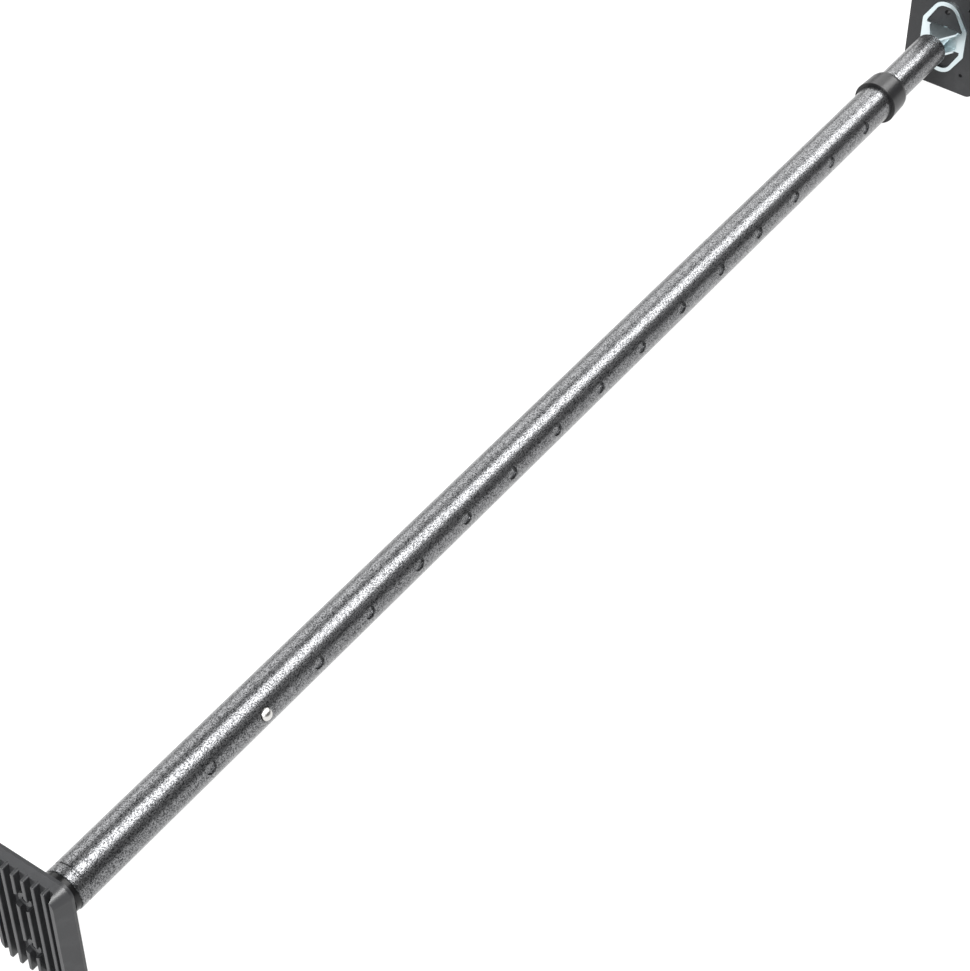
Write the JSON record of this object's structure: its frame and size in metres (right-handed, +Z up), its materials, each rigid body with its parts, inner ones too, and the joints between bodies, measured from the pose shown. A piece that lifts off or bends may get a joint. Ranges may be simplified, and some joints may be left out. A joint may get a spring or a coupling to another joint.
{
  "type": "telescopic doorway pull up bar",
  "caption": "Telescopic doorway bar: sliding hammertone tubes with a snap button and adjusting holes, a collar, and a ribbed rubber wall pad on a zinc bracket at each end.",
  "frame": {"origin": "on the bar's axis, at the wall face of the screw end's pad", "axes": "+X runs along the bar to the slide end, +Z is up, and the adjusting holes face -Y and a little up"},
  "size_m": [1.0478, 0.063, 0.0944],
  "materials": {
    "pad_rubber": "satin moulded black rubber",
    "zinc_plate": "blue-white zinc plated steel",
    "bright_steel": "bright bare steel",
    "spring_steel": "tempered spring strip",
    "dark_steel": "blackened steel",
    "black_plastic": "satin moulded black plastic",
    "hammertone": "silver and black hammertone powder coat on steel"
  },
  "bodies": {
    "screw_end": {"screw_end_pad": "pad_rubber", "screw_end_bracket": "zinc_plate", "tension_spindle": "zinc_plate", "spindle_pin": "bright_steel", "spindle_stop_ring": "bright_steel"},
    "guide": {"end_ring": "black_plastic"},
    "outer": {"outer_tube": "hammertone", "tension_nut": "zinc_plate", "tube_collar": "black_plastic"},
    "inner": {"inner_tube": "hammertone", "guide_bush": "black_plastic", "button_spring": "spring_steel", "swivel_plug": "bright_steel", "plug_rivets": "dark_steel"},
    "button": {"snap_button": "bright_steel"},
    "slide_end": {"slide_end_pad": "pad_rubber", "slide_end_bracket": "zinc_plate", "swivel_bolt": "zinc_plate", "swivel_spacer": "zinc_plate", "thrust_washers": "zinc_plate", "swivel_locknut": "zinc_plate"}
  },
  "joints": [
    {"name": "tension_travel", "type": "slide", "parent": "screw_end", "child": "guide", "axis": [1, 0, 0], "range_m": [0, 0.02]},
    {"name": "tension_turn", "type": "hinge", "parent": "guide", "child": "outer", "pos_m": [0.0305, 0, 0], "axis": [1, 0, 0], "range_deg": [0, 1800]},
    {"name": "telescope", "type": "slide", "parent": "outer", "child": "inner", "axis": [1, 0, 0], "range_m": [-0.05, 0.55]},
    {"name": "button_press", "type": "slide", "parent": "inner", "child": "button", "axis": [0, 0.9272, -0.3746], "range_m": [0, 0.0054], "stiffness_N_per_m": 900, "springref_m": -0.002, "deforming": ["button_spring"]},
    {"name": "pad_swivel", "type": "hinge", "parent": "inner", "child": "slide_end", "pos_m": [1.0158, 0, 0], "axis": [1, 0, 0], "continuous": true}
  ],
  "couplings": [
    {"joint": "tension_travel", "follows": "tension_turn", "m_per_rad": 0.00063661}
  ]
}
